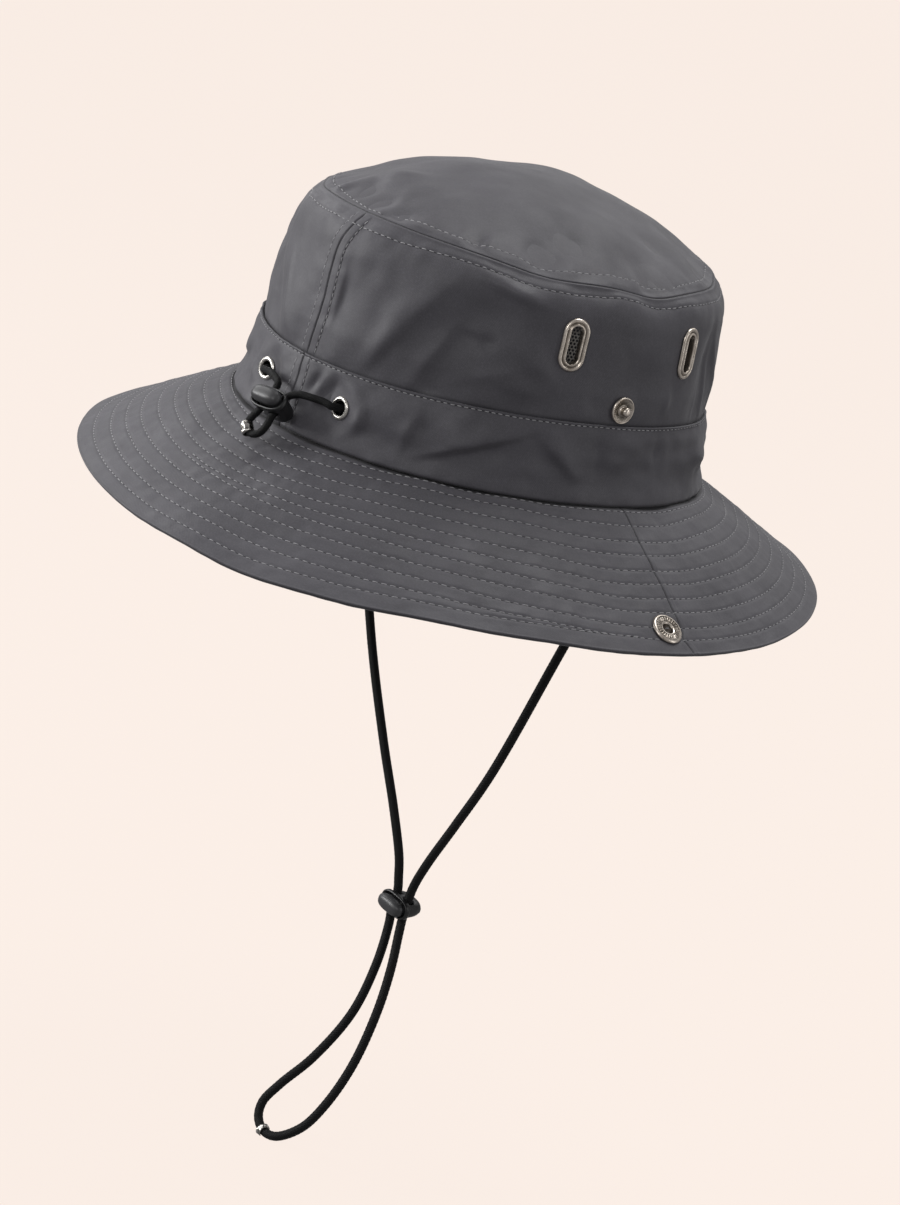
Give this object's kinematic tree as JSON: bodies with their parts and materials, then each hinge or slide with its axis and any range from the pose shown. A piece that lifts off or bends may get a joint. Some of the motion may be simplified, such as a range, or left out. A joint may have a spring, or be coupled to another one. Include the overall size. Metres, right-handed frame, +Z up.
{
  "type": "angler hat",
  "caption": "Soft bucket crown with vents and a wide sewn brim, a rear drawcord with a push-button lock, and a chin cord with its own lock.",
  "frame": {"origin": "middle of the head opening, in the plane where brim and crown are sewn together", "axes": "+Z up through the crown, +Y to the back of the hat, +X to the wearer's left"},
  "size_m": [0.3085, 0.32, 0.4359],
  "materials": {
    "cloth": "fine woven synthetic cloth with a soft sheen",
    "mesh": "dark open mesh",
    "nickel": "worn warm nickel plate",
    "silver": "bright polished plate",
    "cord": "black braided cord",
    "plastic": "smooth black plastic",
    "button": "dark grey plastic with a soft gloss"
  },
  "bodies": {
    "hat": {"crown_tip": "cloth", "crown_wall": "cloth", "crown_band": "cloth", "brim": "cloth", "vent_frame_right_rear": "nickel", "vent_frame_right_front": "nickel", "vent_frame_left_rear": "nickel", "vent_frame_left_front": "nickel", "vent_mesh_right_rear": "mesh", "vent_mesh_right_front": "mesh", "vent_mesh_left_rear": "mesh", "vent_mesh_left_front": "mesh", "snap_stud_right": "nickel", "snap_stud_left": "nickel", "snap_socket_right": "nickel", "snap_socket_left": "nickel", "rear_eyelet_right": "silver", "rear_eyelet_left": "silver", "rear_drawcord": "cord", "rear_drawcord_inner": "cord", "rear_cord_clip": "silver", "rear_lock_body": "plastic", "chin_cord": "cord", "chin_cord_inner": "cord", "chin_cord_clip": "silver", "chin_lock_body": "plastic"},
    "rear_button": {"rear_lock_button": "button"},
    "chin_button": {"chin_lock_button": "button"}
  },
  "joints": [
    {"name": "rear_lock_push", "type": "slide", "parent": "hat", "child": "rear_button", "axis": [0, -0.7772, -0.6292], "range_m": [0, 0.0023], "stiffness_N_per_m": 1000, "springref_m": -0.001},
    {"name": "chin_lock_push", "type": "slide", "parent": "hat", "child": "chin_button", "axis": [0, -1, 0], "range_m": [0, 0.0023], "stiffness_N_per_m": 1000, "springref_m": -0.001}
  ]
}
